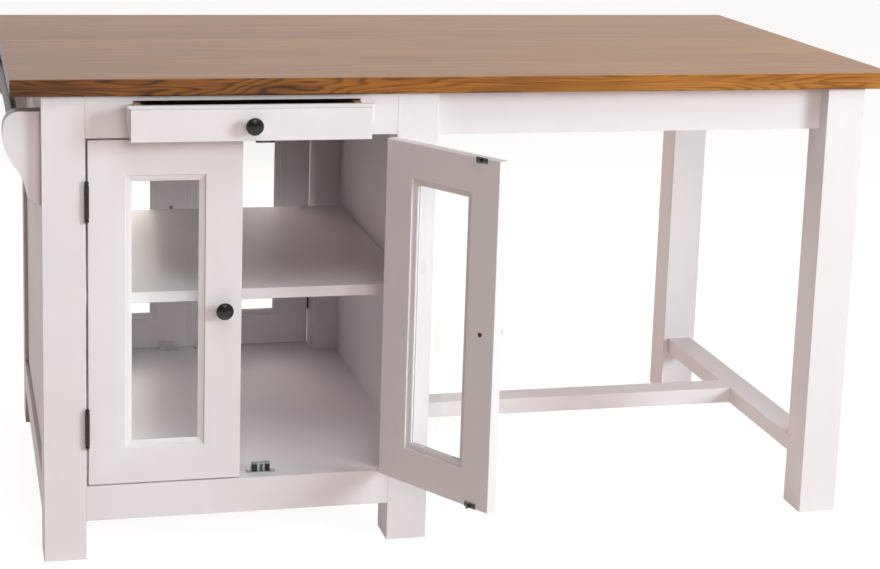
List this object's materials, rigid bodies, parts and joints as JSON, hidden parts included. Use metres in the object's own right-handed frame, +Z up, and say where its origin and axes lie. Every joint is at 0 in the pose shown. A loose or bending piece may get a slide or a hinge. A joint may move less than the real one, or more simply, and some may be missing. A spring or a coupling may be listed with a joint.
{
  "type": "kitchen island",
  "caption": "Kitchen island with a glazed-door cabinet and drawer at one end, an open table end on legs, a plank worktop and an end towel rail",
  "frame": {"origin": "the middle of the front left leg's foot, on the floor", "axes": "+X runs from the cabinet to the open table end, +Y from front to rear, +Z up; +X is the longest side and +Z the shortest"},
  "size_m": [1.6971, 1.1545, 0.9],
  "materials": {
    "white_paint": "warm white satin paint on wood",
    "stained_top": "oiled brown stained planks, satin",
    "bare_wood": "bare planed pine",
    "black_iron": "black lacquered iron",
    "dark_iron": "dark grey lacquered steel",
    "zinc": "zinc plated sheet",
    "black_nylon": "black nylon",
    "clear_glass": "clear float glass"
  },
  "bodies": {
    "island": {"worktop": "stained_top", "leg_front_left": "white_paint", "leg_rear_left": "white_paint", "leg_front_middle": "white_paint", "leg_rear_middle": "white_paint", "leg_front_right": "white_paint", "leg_rear_right": "white_paint", "front_top_rail": "white_paint", "rear_top_rail": "white_paint", "front_bottom_rail": "white_paint", "rear_bottom_rail": "white_paint", "left_top_rail": "white_paint", "left_bottom_rail": "white_paint", "partition_top_rail": "white_paint", "partition_bottom_rail": "white_paint", "left_panel": "white_paint", "partition_panel": "white_paint", "cabinet_floor": "white_paint", "shelf": "white_paint", "shelf_cleats": "white_paint", "catch_rails": "white_paint", "front_apron": "white_paint", "rear_apron": "white_paint", "right_apron": "white_paint", "cross_stretcher": "white_paint", "long_stretcher": "white_paint", "drawer_left_runner": "bare_wood", "drawer_right_runner": "bare_wood", "towel_bracket_front": "white_paint", "towel_bracket_rear": "white_paint", "towel_rail": "dark_iron", "fixed_hinges": "black_iron", "roller_catches": "zinc", "catch_rollers": "black_nylon"},
    "drawer": {"drawer_front": "white_paint", "drawer_left_side": "bare_wood", "drawer_right_side": "bare_wood", "drawer_back": "bare_wood", "drawer_bottom": "bare_wood", "drawer_knob": "black_iron"},
    "front_left_door": {"front_left_door_frame": "white_paint", "front_left_door_glass": "clear_glass", "front_left_door_knob": "black_iron", "front_left_door_hinge_leaves": "black_iron", "front_left_door_strikers": "zinc"},
    "front_right_door": {"front_right_door_frame": "white_paint", "front_right_door_glass": "clear_glass", "front_right_door_knob": "black_iron", "front_right_door_hinge_leaves": "black_iron", "front_right_door_strikers": "zinc"},
    "rear_left_door": {"rear_left_door_frame": "white_paint", "rear_left_door_glass": "clear_glass", "rear_left_door_knob": "black_iron", "rear_left_door_hinge_leaves": "black_iron", "rear_left_door_strikers": "zinc"},
    "rear_right_door": {"rear_right_door_frame": "white_paint", "rear_right_door_glass": "clear_glass", "rear_right_door_knob": "black_iron", "rear_right_door_hinge_leaves": "black_iron", "rear_right_door_strikers": "zinc"}
  },
  "joints": [
    {"name": "drawer_slide", "type": "slide", "parent": "island", "child": "drawer", "axis": [0, -1, 0], "range_m": [-0.0397, 0.21]},
    {"name": "front_left_door_hinge", "type": "hinge", "parent": "island", "child": "front_left_door", "pos_m": [0.0404, -0.0431, 0.144], "axis": [0, 0, -1], "range_deg": [0, 175]},
    {"name": "front_right_door_hinge", "type": "hinge", "parent": "island", "child": "front_right_door", "pos_m": [0.6036, -0.0431, 0.144], "axis": [0, 0, 1], "range_deg": [-122, 53]},
    {"name": "rear_left_door_hinge", "type": "hinge", "parent": "island", "child": "rear_left_door", "pos_m": [0.0404, 0.8361, 0.144], "axis": [0, 0, 1], "range_deg": [0, 175]},
    {"name": "rear_right_door_hinge", "type": "hinge", "parent": "island", "child": "rear_right_door", "pos_m": [0.6036, 0.8361, 0.144], "axis": [0, 0, -1], "range_deg": [0, 175]}
  ]
}
